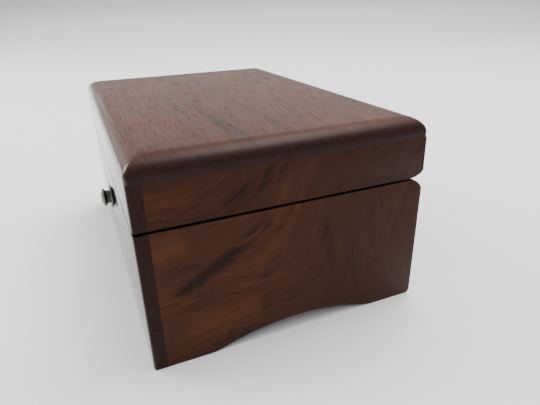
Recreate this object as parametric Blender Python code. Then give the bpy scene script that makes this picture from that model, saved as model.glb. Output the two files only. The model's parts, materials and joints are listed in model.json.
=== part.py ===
"""Wooden watch box with a hinged lid, a push-button catch and a lined interior.

Metres, +Z up. X runs along the width, Y from the front to the rear, and the origin lies on the
table, under the middle of the overall outline with the button included.
"""
import math

import bmesh
import bpy
from mathutils import Matrix, Vector

MM = 0.001

# Driving sizes of the case
WIDTH = 148 * MM
DEPTH = 100 * MM
BASE_HEIGHT = 48.4 * MM
LID_HEIGHT = 21.0 * MM
LID_GAP = 0.6 * MM
WALL = 5.0 * MM
FRONT_WALL = 4.4 * MM
REAR_WALL = 11.0 * MM
TOP_BOARD = 6.8 * MM
FLOOR_PANEL = 3.0 * MM
FLOOR_RISE = 6.0 * MM
ROUND_OVER_SIDE = 6.9 * MM
ROUND_OVER_DROP = 5.1 * MM
CORNER_EASE = 1.2 * MM
ARCH_SPAN = 60.0 * MM
ARCH_RISE = 5.3 * MM
ARCH_BLEND = 14.0 * MM
ARCH_OFFSET = 0.5 * MM
REAR_FOOT_ROUND = 2.0 * MM

# Relief along the rear edge, where the lid turns over the base
RELIEF_DEPTH = 4.8 * MM
RELIEF_BASE_DROP = 4.1 * MM
RELIEF_LID_RISE = 2.5 * MM
RELIEF_POWER = 1.5

# Clearances
GLUE_GAP = 0.15 * MM
SEAT_GAP = 0.3 * MM
RUN_GAP = 0.25 * MM
SWING_GAP = 0.35 * MM

# Linings and inserts
LINING = 1.2 * MM
LINING_DROP = 1.0 * MM
BAIZE = 0.8 * MM
FLOOR_PAD = 1.8 * MM
DECK_RISE = 21.0 * MM
DECK = 3.0 * MM
DECK_REST = 3.0 * MM
WELL_LENGTH = 92.0 * MM
WELL_DEPTH = 58.0 * MM
WELL_WALL = 1.5 * MM
WELL_CORNER = 3.0 * MM
CUSHION_HEIGHT = 32.5 * MM
CUSHION_PLAY = 1.5 * MM
CUSHION_ROUND = 9.0 * MM
LID_PAD = 3.7 * MM
LID_PAD_ROUND = 1.5 * MM

# Hinges
HINGE_SPREAD = 90.0 * MM
HINGE_LENGTH = 28.0 * MM
HINGE_INSET = 2.5 * MM
KNUCKLE_RADIUS = 1.7 * MM
PIN_RADIUS = 0.75 * MM
LEAF = 0.9 * MM
LEAF_REACH = 6.4 * MM
CENTRE_KNUCKLE = 10.0 * MM
HINGE_SCREW_SPREAD = 18.0 * MM

# Screws
SCREW_HEAD = 1.55 * MM
SCREW_SHANK = 0.8 * MM
HINGE_SCREW_LENGTH = 6.2 * MM
SHORT_SCREW_LENGTH = 3.6 * MM
PAN_HEAD_HEIGHT = 0.7 * MM

# Push button
BUTTON_DROP = 16.3 * MM
HEAD_RADIUS = 3.86 * MM
HEAD_CROWN = 1.35 * MM
HEAD_BACK = 1.2 * MM
HEAD_STAND_OFF = 1.15 * MM
NECK_RADIUS = 2.75 * MM
NECK_LENGTH = 3.3 * MM
STEM_RADIUS = 1.45 * MM
SPIGOT_RADIUS = 0.9 * MM
SPIGOT_LENGTH = 2.1 * MM
STEM_STOP_RADIUS = 3.5 * MM
STEM_STOP = 0.25 * MM
COLLAR_RADIUS = 4.85 * MM
COLLAR_THICKNESS = 0.95 * MM
COLLAR_CHAMFER = 0.4 * MM
COLLAR_STAND_OFF = 0.2 * MM
TUBE_WALL = 0.7 * MM
TUBE_BORE = NECK_RADIUS + SEAT_GAP
TUBE_RADIUS = TUBE_BORE + TUBE_WALL
NUT_RADIUS = 4.95 * MM
NUT = 1.3 * MM

# Catch behind the front board
KEEPER_WIDTH = 11.0 * MM
KEEPER = 0.8 * MM
KEEPER_DEPTH = 7.3 * MM
KEEPER_RISE = 9.5 * MM
BARB = 1.1 * MM
BARB_HEIGHT = 1.2 * MM
BITE = 0.75 * MM
BOLT_WIDTH = 9.6 * MM
BOLT = 1.0 * MM
BOLT_FOOT = 4.8 * MM
BOLT_PLAY = 0.4 * MM
NOSE = 1.2 * MM
CASE_SHEET = 0.8 * MM
CASE_DEPTH = 9.0 * MM
CASE_EAR = 4.8 * MM
CASE_DROP = 0.7 * MM
CASE_FOOT = 6.5 * MM
SPRING_RADIUS = 2.1 * MM
SPRING_WIRE = 0.25 * MM
SPRING_TURNS = 4

# Where the main planes lie
HEAD_REACH = COLLAR_STAND_OFF + COLLAR_THICKNESS + HEAD_STAND_OFF + HEAD_BACK + HEAD_CROWN
FRONT_Y = -(DEPTH - HEAD_REACH) / 2
REAR_Y = FRONT_Y + DEPTH
HALF_WIDTH = WIDTH / 2
INNER_X = HALF_WIDTH - WALL
INNER_FRONT = FRONT_Y + FRONT_WALL
INNER_REAR = REAR_Y - REAR_WALL
LID_FOOT = BASE_HEIGHT + LID_GAP
LID_TOP = LID_FOOT + LID_HEIGHT
CEILING = LID_TOP - TOP_BOARD
FLOOR_TOP = FLOOR_RISE + FLOOR_PANEL
LINING_TOP = BASE_HEIGHT - LINING_DROP
DECK_FOOT = FLOOR_TOP + DECK_RISE
BUTTON_Z = BASE_HEIGHT - BUTTON_DROP
PIN_Y = REAR_Y - HINGE_INSET
PIN_Z = BASE_HEIGHT + LID_GAP / 2
KEEPER_FRONT = INNER_FRONT + RUN_GAP
KEEPER_FOOT = BASE_HEIGHT - KEEPER_DEPTH
BARB_TIP = KEEPER_FRONT + KEEPER + BARB
CASE_TOP = BASE_HEIGHT - CASE_DROP
CASE_BOTTOM = BUTTON_Z - CASE_FOOT
CASE_HALF = BOLT_WIDTH / 2 + BOLT_PLAY + CASE_SHEET
CASE_OUTER = CASE_HALF + CASE_EAR
CASE_REAR = INNER_FRONT + RUN_GAP + CASE_DEPTH


def clear_scene():
    for old in list(bpy.data.objects):
        bpy.data.objects.remove(old, do_unlink=True)


def finish(name, colour, roughness, metallic=0.0):
    made = bpy.data.materials.new(name)
    made.use_nodes = True
    shader = made.node_tree.nodes["Principled BSDF"]
    shader.inputs["Base Color"].default_value = (*colour, 1.0)
    shader.inputs["Roughness"].default_value = roughness
    shader.inputs["Metallic"].default_value = metallic
    return made


def add_piece(name, shape, look, origin=(0, 0, 0)):
    """Makes one object from a bmesh in world coordinates, with its origin where it is asked for."""
    bmesh.ops.recalc_face_normals(shape, faces=shape.faces)
    bmesh.ops.translate(shape, verts=shape.verts, vec=-Vector(origin))
    mesh = bpy.data.meshes.new(name)
    shape.to_mesh(mesh)
    shape.free()
    piece = bpy.data.objects.new(name, mesh)
    piece.location = origin
    bpy.context.scene.collection.objects.link(piece)
    if look:
        mesh.materials.append(look)
    return piece


def hide_tool(tool):
    tool.hide_render = True
    tool.display_type = "WIRE"
    return tool


def combine(piece, shape, operation="DIFFERENCE"):
    """Cuts a shape out of a piece, or joins it on, with an exact Boolean."""
    tool = hide_tool(add_piece(piece.name + "_tool", shape, None))
    step = piece.modifiers.new(operation.title(), "BOOLEAN")
    step.operation = operation
    step.solver = "EXACT"
    step.object = tool


def block(low, high, shape=None):
    """A cuboid between two corners, in a new bmesh or added to one."""
    shape = shape or bmesh.new()
    size = Vector(high) - Vector(low)
    middle = (Vector(high) + Vector(low)) / 2
    place = Matrix.Translation(middle) @ Matrix.Diagonal((*size, 1.0))
    bmesh.ops.create_cube(shape, size=1.0, matrix=place)
    return shape


def rod(start, end, radius, steps=24, end_radius=None, shape=None):
    """A cylinder or cone between two points."""
    shape = shape or bmesh.new()
    start = Vector(start)
    run = Vector(end) - start
    turn = run.to_track_quat("Z", "Y").to_matrix().to_4x4()
    bmesh.ops.create_cone(
        shape, cap_ends=True, segments=steps, depth=run.length,
        radius1=radius, radius2=radius if end_radius is None else end_radius,
        matrix=Matrix.Translation(start + run / 2) @ turn)
    return shape


def extruded(points, travel):
    """Extrudes a flat outline of 3D points by a vector."""
    shape = bmesh.new()
    face = shape.faces.new([shape.verts.new(point) for point in points])
    grown = bmesh.ops.extrude_face_region(shape, geom=[face])["geom"]
    moved = [part for part in grown if isinstance(part, bmesh.types.BMVert)]
    bmesh.ops.translate(shape, verts=moved, vec=travel)
    return shape


def prism(outline, low_x, high_x):
    """Extrudes a (y, z) outline along X."""
    return extruded([(low_x, y, z) for y, z in outline], (high_x - low_x, 0, 0))


def turned(profile, centre, axis, steps, ring=False):
    """Spins a profile of (distance along the axis, radius) points; a ring's profile closes on itself."""
    shape = bmesh.new()
    centre, axis = Vector(centre), Vector(axis)
    side = axis.orthogonal().normalized()
    points = [shape.verts.new(centre + axis * along + side * radius) for along, radius in profile]
    pairs = list(zip(points, points[1:]))
    if ring:
        pairs.append((points[-1], points[0]))
    edges = [shape.edges.new(pair) for pair in pairs]
    bmesh.ops.spin(shape, geom=points + edges, cent=centre, axis=axis, angle=math.tau, steps=steps,
                   use_merge=True)
    bmesh.ops.remove_doubles(shape, verts=shape.verts, dist=0.001 * MM)
    return shape


def ease(shape, width, steps, wanted=lambda co: True):
    """Rounds the upright edges whose two ends pass a test."""
    chosen = [edge for edge in shape.edges
              if near(*(vert.co.x for vert in edge.verts)) and near(*(vert.co.y for vert in edge.verts))
              and all(wanted(vert.co) for vert in edge.verts)]
    bmesh.ops.bevel(shape, geom=chosen, offset=width, segments=steps, profile=0.5, affect="EDGES",
                    material=-1)
    return shape


def near(value, target):
    return abs(value - target) < 0.01 * MM


def corner_arc(centre, radius, start, end, steps):
    """Points on an arc, angles in degrees from +Y towards +Z."""
    angles = [math.radians(start + (end - start) * step / steps) for step in range(steps + 1)]
    return [(centre[0] + radius * math.cos(a), centre[1] + radius * math.sin(a)) for a in angles]


def relief_curve(across, up, steps=6):
    """The eased rear edge, from its inner end (0, 0) to its outer end (across, up)."""
    points = []
    for step in range(steps + 1):
        turn = math.pi / 2 * step / steps
        points.append((across * math.sin(turn) ** (2 / RELIEF_POWER),
                       up * (1 - math.cos(turn) ** (2 / RELIEF_POWER))))
    return points


def base_rear_edge():
    inner = REAR_Y - RELIEF_DEPTH
    curve = relief_curve(RELIEF_DEPTH, -RELIEF_BASE_DROP)
    return [(inner + y, BASE_HEIGHT + z) for y, z in reversed(curve)]


def lid_rear_edge():
    inner = REAR_Y - RELIEF_DEPTH
    curve = relief_curve(RELIEF_DEPTH, RELIEF_LID_RISE)
    return [(inner + y, LID_FOOT + z) for y, z in curve]


def rear_foot():
    centre = (REAR_Y - REAR_FOOT_ROUND, REAR_FOOT_ROUND)
    return corner_arc(centre, REAR_FOOT_ROUND, -90, 0, 4)


def arch_outline():
    """The arch under a side board, front to rear: a shallow arc that runs into the feet in small curves."""
    half = ARCH_SPAN / 2
    radius = (half ** 2 + ARCH_RISE ** 2) / (2 * ARCH_RISE)
    centre_z = ARCH_RISE - radius
    blend_y = math.sqrt((radius + ARCH_BLEND) ** 2 - (ARCH_BLEND - centre_z) ** 2)
    lean = math.degrees(math.asin(blend_y / (radius + ARCH_BLEND)))
    middle = (FRONT_Y + REAR_Y) / 2 + ARCH_OFFSET
    main = corner_arc((middle, centre_z), radius, 90 + lean, 90 - lean, 16)
    front = corner_arc((middle - blend_y, ARCH_BLEND), ARCH_BLEND, -90, -90 + lean, 4)
    rear = corner_arc((middle + blend_y, ARCH_BLEND), ARCH_BLEND, -90 - lean, -90, 4)
    return front[:-1] + main + rear[1:]


def pilot(shape, start, end):
    """A hole for a screw's shank, with room round it."""
    return rod(start, end, SCREW_SHANK + SEAT_GAP, 12, shape=shape)


def hinge_centres():
    return {"left": -HINGE_SPREAD / 2, "right": HINGE_SPREAD / 2}


def hinge_screws(centre):
    half = HINGE_SCREW_SPREAD / 2
    return [centre - half, centre + half]


def leaf_span():
    """Inner and outer Y of a hinge leaf's plate, short of the knuckles."""
    outer = PIN_Y - KNUCKLE_RADIUS - SEAT_GAP
    return outer - LEAF_REACH + KNUCKLE_RADIUS, outer


def screw_row_y():
    inner, outer = leaf_span()
    return (inner + outer) / 2


def cut_hinge_seats(board, face_z, into):
    """Lets both hinges into a board: leaf mortises, room for the knuckles, and screw holes."""
    inner, _ = leaf_span()
    half = HINGE_LENGTH / 2 + SEAT_GAP
    floor_z = face_z + into * (LEAF + SEAT_GAP)
    mortises, grooves, holes = bmesh.new(), bmesh.new(), bmesh.new()
    for centre in hinge_centres().values():
        z_pair = sorted((floor_z, face_z - into * LID_GAP / 4))
        block((centre - half, inner - SEAT_GAP, z_pair[0]), (centre + half, PIN_Y, z_pair[1]), mortises)
        rod((centre - half, PIN_Y, PIN_Z), (centre + half, PIN_Y, PIN_Z), KNUCKLE_RADIUS + SWING_GAP, 24,
            shape=grooves)
        for x in hinge_screws(centre):
            end_z = face_z + into * (HINGE_SCREW_LENGTH + 2 * SEAT_GAP)
            pilot(holes, (x, screw_row_y(), floor_z - into * SEAT_GAP), (x, screw_row_y(), end_z))
    for shape in (mortises, grooves, holes):
        combine(board, shape)


def base_boards(wood):
    front = ease(block((-HALF_WIDTH, FRONT_Y, 0), (HALF_WIDTH, INNER_FRONT, BASE_HEIGHT)), CORNER_EASE, 3,
                 lambda co: near(abs(co.x), HALF_WIDTH) and near(co.y, FRONT_Y))
    front = add_piece("base_front_board", front, wood)
    bore = rod((0, FRONT_Y - SEAT_GAP, BUTTON_Z), (0, INNER_FRONT + SEAT_GAP, BUTTON_Z),
               TUBE_RADIUS + SEAT_GAP, 32)
    combine(front, bore)
    half = KEEPER_WIDTH / 2 + SEAT_GAP * 2
    relief = block((-half, INNER_FRONT - SWING_GAP * 2, KEEPER_FOOT - 4 * SEAT_GAP),
                   (half, INNER_FRONT + SEAT_GAP, BASE_HEIGHT + LID_GAP))
    combine(front, relief)
    holes = bmesh.new()
    for x in case_screw_places():
        pilot(holes, (x, INNER_FRONT + SEAT_GAP, BUTTON_Z),
              (x, INNER_FRONT - SHORT_SCREW_LENGTH - SEAT_GAP / 2, BUTTON_Z))
    combine(front, holes)

    side_front = INNER_FRONT + GLUE_GAP
    outline = [(side_front, 0)] + arch_outline() + rear_foot() + base_rear_edge()
    outline.append((side_front, BASE_HEIGHT))
    for side, facing in (("left", -1), ("right", 1)):
        low, high = sorted((facing * INNER_X, facing * HALF_WIDTH))
        board = ease(prism(outline, low, high), CORNER_EASE / 2, 2,
                     lambda co: near(abs(co.x), HALF_WIDTH) and near(co.y, REAR_Y))
        add_piece(f"base_{side}_board", board, wood)

    rear_x = INNER_X - GLUE_GAP
    outline = [(INNER_REAR, 0)] + rear_foot() + base_rear_edge() + [(INNER_REAR, BASE_HEIGHT)]
    rear = add_piece("base_rear_board", prism(outline, -rear_x, rear_x), wood)
    cut_hinge_seats(rear, BASE_HEIGHT, -1)

    panel = block((-rear_x, INNER_FRONT + GLUE_GAP, FLOOR_RISE),
                  (rear_x, INNER_REAR - GLUE_GAP, FLOOR_RISE + FLOOR_PANEL))
    add_piece("base_bottom_panel", panel, wood)


def lid_boards(wood):
    rail_top = CEILING - GLUE_GAP
    front = ease(block((-HALF_WIDTH, FRONT_Y, LID_FOOT), (HALF_WIDTH, INNER_FRONT, rail_top)), CORNER_EASE, 3,
                 lambda co: near(abs(co.x), HALF_WIDTH) and near(co.y, FRONT_Y))
    front = add_piece("lid_front_rail", front, wood)
    holes = bmesh.new()
    for z in keeper_screw_heights():
        pilot(holes, (0, INNER_FRONT + SEAT_GAP, z), (0, INNER_FRONT - SHORT_SCREW_LENGTH - SEAT_GAP / 2, z))
    combine(front, holes)

    side_front = INNER_FRONT + GLUE_GAP
    outline = [(side_front, LID_FOOT)] + lid_rear_edge() + [(REAR_Y, rail_top), (side_front, rail_top)]
    for side, facing in (("left", -1), ("right", 1)):
        low, high = sorted((facing * INNER_X, facing * HALF_WIDTH))
        board = ease(prism(outline, low, high), CORNER_EASE / 2, 2,
                     lambda co: near(abs(co.x), HALF_WIDTH) and near(co.y, REAR_Y))
        add_piece(f"lid_{side}_rail", board, wood)

    rear_x = INNER_X - GLUE_GAP
    outline = [(INNER_REAR, LID_FOOT)] + lid_rear_edge() + [(REAR_Y, rail_top), (INNER_REAR, rail_top)]
    rear = add_piece("lid_rear_rail", prism(outline, -rear_x, rear_x), wood)
    cut_hinge_seats(rear, LID_FOOT, 1)


def lid_top_board(wood):
    """A board with eased upright corners and a round-over on its four top edges."""
    steps = 7
    size = Vector((WIDTH, DEPTH, TOP_BOARD))
    middle = Vector((0, (FRONT_Y + REAR_Y) / 2, CEILING + TOP_BOARD / 2))
    shape = block(middle - size / 2, middle + size / 2)
    ease(shape, CORNER_EASE, 3,
         lambda co: near(abs(co.x), HALF_WIDTH) and near(abs(co.y - middle.y), DEPTH / 2))
    top = [vert for vert in shape.verts if near(vert.co.z, LID_TOP)]
    bmesh.ops.translate(shape, verts=top, vec=(0, 0, -ROUND_OVER_DROP))
    face = next(face for face in shape.faces if all(vert in top for vert in face.verts))
    inset, height = 0.0, 0.0
    for step in range(1, steps + 1):
        turn = math.pi / 2 * step / steps
        next_inset = ROUND_OVER_SIDE * (1 - math.cos(turn))
        next_height = ROUND_OVER_DROP * math.sin(turn)
        grown = bmesh.ops.extrude_face_region(shape, geom=[face])["geom"]
        moved = [part for part in grown if isinstance(part, bmesh.types.BMVert)]
        bmesh.ops.delete(shape, geom=[face], context="FACES_ONLY")
        face = next(part for part in grown if isinstance(part, bmesh.types.BMFace))
        bmesh.ops.translate(shape, verts=moved, vec=(0, 0, next_height - height))
        shrink = [(side / 2 - next_inset) / (side / 2 - inset) for side in (WIDTH, DEPTH)]
        bmesh.ops.scale(shape, verts=moved, vec=(*shrink, 1.0), space=Matrix.Translation((0, -middle.y, 0)))
        inset, height = next_inset, next_height
    add_piece("lid_top_board", shape, wood)


def hinge_leaf(name, centre, face_z, into, knuckles, look):
    """A plate let into a board, with its knuckles rolled round the pin."""
    inner, outer = leaf_span()
    half = HINGE_LENGTH / 2
    low_z, high_z = sorted((face_z, face_z + into * LEAF))
    leaf = add_piece(name, block((centre - half, inner, low_z), (centre + half, outer, high_z)), look,
                     (centre, PIN_Y, PIN_Z))
    for start, end in knuckles:
        tab = block((centre + start, outer - SEAT_GAP, low_z), (centre + end, PIN_Y, high_z))
        combine(leaf, tab, "UNION")
        barrel = rod((centre + start, PIN_Y, PIN_Z), (centre + end, PIN_Y, PIN_Z), KNUCKLE_RADIUS, 24)
        combine(leaf, barrel, "UNION")
    bore = rod((centre - half - SEAT_GAP, PIN_Y, PIN_Z), (centre + half + SEAT_GAP, PIN_Y, PIN_Z),
               PIN_RADIUS + RUN_GAP, 16)
    combine(leaf, bore)
    sinks = bmesh.new()
    for x in hinge_screws(centre):
        y = screw_row_y()
        rod((x, y, face_z - into * SEAT_GAP), (x, y, face_z + into * (LEAF + SEAT_GAP)),
            SCREW_HEAD + 2 * SEAT_GAP, 16, SCREW_SHANK + SEAT_GAP / 2, sinks)
    combine(leaf, sinks)


def wood_screw(name, head, direction, length, look):
    """A countersunk screw, from the middle of its head face."""
    profile = [(0, 0), (0, SCREW_HEAD), (LEAF, SCREW_SHANK), (length - SCREW_SHANK, SCREW_SHANK), (length, 0)]
    add_piece(name, turned(profile, head, direction, 12), look, head)


def hinges(brass):
    half = HINGE_LENGTH / 2
    middle = CENTRE_KNUCKLE / 2
    for side, centre in hinge_centres().items():
        hinge_leaf(f"hinge_{side}_base_leaf", centre, BASE_HEIGHT, -1, [(-middle, middle)], brass)
        outer_knuckles = [(-half, -middle - SEAT_GAP), (middle + SEAT_GAP, half)]
        hinge_leaf(f"hinge_{side}_lid_leaf", centre, LID_FOOT, 1, outer_knuckles, brass)
        pin = rod((centre - half, PIN_Y, PIN_Z), (centre + half, PIN_Y, PIN_Z), PIN_RADIUS, 16)
        add_piece(f"hinge_{side}_pin", pin, brass, (centre, PIN_Y, PIN_Z))
        for number, x in enumerate(hinge_screws(centre), 1):
            sink = SEAT_GAP / 3
            wood_screw(f"hinge_{side}_base_screw_{number}", (x, screw_row_y(), BASE_HEIGHT - sink),
                       (0, 0, -1), HINGE_SCREW_LENGTH, brass)
            wood_screw(f"hinge_{side}_lid_screw_{number}", (x, screw_row_y(), LID_FOOT + sink),
                       (0, 0, 1), HINGE_SCREW_LENGTH, brass)


def pan_screw(name, seat, look):
    """A short pan-head screw that goes forwards into the wood from its seat."""
    length = SHORT_SCREW_LENGTH + KEEPER + RUN_GAP
    crown = [(-PAN_HEAD_HEIGHT, 0), (-PAN_HEAD_HEIGHT, 0.6 * SCREW_HEAD), (-0.4 * PAN_HEAD_HEIGHT, SCREW_HEAD)]
    profile = crown + [(0, SCREW_HEAD), (0, SCREW_SHANK), (length - SCREW_SHANK, SCREW_SHANK), (length, 0)]
    start = Vector(seat) + Vector((0, RUN_GAP, 0))
    add_piece(name, turned(profile, start, (0, -1, 0), 12), look, seat)


def case_screw_places():
    reach = CASE_HALF + CASE_EAR / 2
    return [-reach, reach]


def keeper_screw_heights():
    return [LID_FOOT + 0.3 * KEEPER_RISE, LID_FOOT + 0.77 * KEEPER_RISE]


def button(bronze, brass):
    """The collar, the button head and its stem, on the button's axis."""
    axis = (0, 1, 0)
    seat = FRONT_Y - COLLAR_STAND_OFF
    collar_front = seat - COLLAR_THICKNESS
    lip = COLLAR_CHAMFER / 2
    tail = INNER_FRONT + RUN_GAP + NUT + SEAT_GAP
    stop_front = tail + SEAT_GAP
    stem_end = stop_front + STEM_STOP

    def along(y):
        return y - FRONT_Y

    centre = (0, FRONT_Y, BUTTON_Z)
    collar = [
        (along(collar_front), TUBE_BORE + lip), (along(collar_front), COLLAR_RADIUS - COLLAR_CHAMFER),
        (along(collar_front) + COLLAR_CHAMFER, COLLAR_RADIUS), (along(seat), COLLAR_RADIUS),
        (along(seat), TUBE_RADIUS), (along(tail), TUBE_RADIUS), (along(tail), TUBE_BORE),
        (along(collar_front) + lip, TUBE_BORE)]
    add_piece("button_collar", turned(collar, centre, axis, 32, ring=True), bronze, centre)

    neck_front = collar_front - HEAD_STAND_OFF
    neck_end = neck_front + NECK_LENGTH
    rim = neck_front - HEAD_BACK
    socket = SPIGOT_RADIUS + SEAT_GAP
    head = [
        (along(rim) - HEAD_CROWN, 0), (along(rim) - 0.92 * HEAD_CROWN, 0.28 * HEAD_RADIUS),
        (along(rim) - 0.14 * HEAD_CROWN, 0.94 * HEAD_RADIUS), (along(rim), HEAD_RADIUS),
        (along(rim) + 0.12 * HEAD_BACK, 0.985 * HEAD_RADIUS), (along(neck_front), NECK_RADIUS),
        (along(neck_end), NECK_RADIUS), (along(neck_end), socket),
        (along(neck_end) - SPIGOT_LENGTH - SEAT_GAP, socket), (along(neck_end) - SPIGOT_LENGTH - SEAT_GAP, 0)]
    add_piece("button_head", turned(head, centre, axis, 32), bronze, centre)

    shoulder = neck_end + SEAT_GAP
    stem = [
        (along(neck_end) - SPIGOT_LENGTH + SEAT_GAP, 0), (along(neck_end) - SPIGOT_LENGTH + SEAT_GAP, SPIGOT_RADIUS),
        (along(shoulder), SPIGOT_RADIUS), (along(shoulder), STEM_RADIUS), (along(stop_front), STEM_RADIUS),
        (along(stop_front), STEM_STOP_RADIUS), (along(stem_end), STEM_STOP_RADIUS), (along(stem_end), 0)]
    add_piece("button_stem", turned(stem, centre, axis, 24), brass, centre)

    nut_front = INNER_FRONT + RUN_GAP
    nut = rod((0, nut_front, BUTTON_Z), (0, nut_front + NUT, BUTTON_Z), NUT_RADIUS, 6)
    nut = add_piece("collar_nut", nut, brass, (0, nut_front, BUTTON_Z))
    combine(nut, rod((0, nut_front - SEAT_GAP, BUTTON_Z), (0, nut_front + NUT + SEAT_GAP, BUTTON_Z),
                     TUBE_RADIUS + SEAT_GAP, 24))
    return stem_end + SEAT_GAP


def catch(brass, steel, bolt_front):
    """The sliding bolt with its spring and case on the base, and the keeper on the lid."""
    half_bolt = BOLT_WIDTH / 2
    nose_tip = BARB_TIP - BITE
    nose_foot = KEEPER_FOOT + BARB_HEIGHT + SEAT_GAP
    nose_top = nose_foot + NOSE
    bolt_rear = bolt_front + BOLT
    outline = [
        (bolt_front, BUTTON_Z - BOLT_FOOT), (bolt_rear, BUTTON_Z - BOLT_FOOT), (bolt_rear, nose_top),
        (bolt_front, nose_top), (nose_tip, nose_foot + 0.4 * NOSE), (nose_tip, nose_foot),
        (bolt_front, nose_foot)]
    add_piece("catch_bolt", prism(outline, -half_bolt, half_bolt), steel)

    keeper_rear = KEEPER_FRONT + KEEPER
    half_keeper = KEEPER_WIDTH / 2
    outline = [
        (KEEPER_FRONT, KEEPER_FOOT), (keeper_rear, KEEPER_FOOT), (BARB_TIP, KEEPER_FOOT + 0.7 * BARB_HEIGHT),
        (BARB_TIP, KEEPER_FOOT + BARB_HEIGHT), (keeper_rear, KEEPER_FOOT + BARB_HEIGHT),
        (keeper_rear, LID_FOOT + KEEPER_RISE), (KEEPER_FRONT, LID_FOOT + KEEPER_RISE)]
    keeper = add_piece("lid_keeper", prism(outline, -half_keeper, half_keeper), brass)
    # The tongue below the lid is narrower than the plate that is screwed on.
    tongue = BOLT_WIDTH / 2
    trims = bmesh.new()
    for low, high in ((-half_keeper - SEAT_GAP, -tongue), (tongue, half_keeper + SEAT_GAP)):
        block((low, KEEPER_FRONT - SEAT_GAP, KEEPER_FOOT - SEAT_GAP), (high, BARB_TIP + SEAT_GAP, LID_FOOT), trims)
    combine(keeper, trims)
    holes = bmesh.new()
    for number, z in enumerate(keeper_screw_heights(), 1):
        pilot(holes, (0, KEEPER_FRONT - SEAT_GAP, z), (0, keeper_rear + SEAT_GAP, z))
        pan_screw(f"keeper_screw_{number}", (0, keeper_rear, z), brass)
    combine(keeper, holes)

    case_front = INNER_FRONT + RUN_GAP
    ear_rear = case_front + CASE_SHEET
    inner_half = CASE_HALF - CASE_SHEET
    inner_rear = CASE_REAR - CASE_SHEET
    half_hat = [
        (inner_half, inner_rear), (inner_half, case_front), (CASE_OUTER, case_front), (CASE_OUTER, ear_rear),
        (CASE_HALF, ear_rear), (CASE_HALF, CASE_REAR)]
    hat = half_hat + [(-x, y) for x, y in reversed(half_hat)]
    walls = extruded([(x, y, CASE_BOTTOM) for x, y in hat], (0, 0, CASE_TOP - CASE_BOTTOM))
    case = add_piece("catch_case", walls, brass)
    lap = CASE_SHEET / 2
    for low_z, front in ((CASE_BOTTOM + lap / 4, case_front + lap / 4),
                         (CASE_TOP - CASE_SHEET - lap / 4, BARB_TIP + SWING_GAP)):
        plate = block((-CASE_HALF + lap, front, low_z), (CASE_HALF - lap, CASE_REAR - lap, low_z + CASE_SHEET))
        combine(case, plate, "UNION")
    holes = bmesh.new()
    for number, x in enumerate(case_screw_places(), 1):
        pilot(holes, (x, case_front - SEAT_GAP, BUTTON_Z), (x, case_front + CASE_SHEET + SEAT_GAP, BUTTON_Z))
        pan_screw(f"case_screw_{number}", (x, case_front + CASE_SHEET, BUTTON_Z), brass)
    combine(case, holes)

    start = bolt_rear + SEAT_GAP + SPRING_WIRE
    end = CASE_REAR - CASE_SHEET - SEAT_GAP - SPRING_WIRE
    coil = bpy.data.curves.new("catch_spring", "CURVE")
    coil.dimensions = "3D"
    coil.bevel_depth = SPRING_WIRE
    coil.bevel_resolution = 1
    coil.use_fill_caps = True
    points_per_turn = 12
    count = SPRING_TURNS * points_per_turn + 1
    wire = coil.splines.new("POLY")
    wire.points.add(count - 1)
    for index, point in enumerate(wire.points):
        turn = math.tau * index / points_per_turn
        y = (end - start) * index / (count - 1)
        point.co = (SPRING_RADIUS * math.cos(turn), y, SPRING_RADIUS * math.sin(turn), 1.0)
    spring = bpy.data.objects.new("catch_spring", coil)
    spring.location = (0, start, BUTTON_Z)
    coil.materials.append(steel)
    bpy.context.scene.collection.objects.link(spring)


def wall_linings(prefix, low_z, high_z, front_gap, cloth):
    """Thin covered panels against the four walls; the front one leaves room for the catch."""
    outer_x = INNER_X - SEAT_GAP
    front, rear = INNER_FRONT + SEAT_GAP, INNER_REAR - SEAT_GAP
    span = outer_x - LINING - SEAT_GAP
    for side, facing in (("left", -1), ("right", 1)):
        low, high = sorted((facing * outer_x, facing * (outer_x - LINING)))
        add_piece(f"{prefix}_{side}", block((low, front, low_z), (high, rear, high_z)), cloth)
        low, high = sorted((facing * front_gap, facing * span))
        add_piece(f"{prefix}_front_{side}", block((low, front, low_z), (high, front + LINING, high_z)), cloth)
    add_piece(f"{prefix}_rear", block((-span, rear - LINING, low_z), (span, rear, high_z)), cloth)


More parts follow.
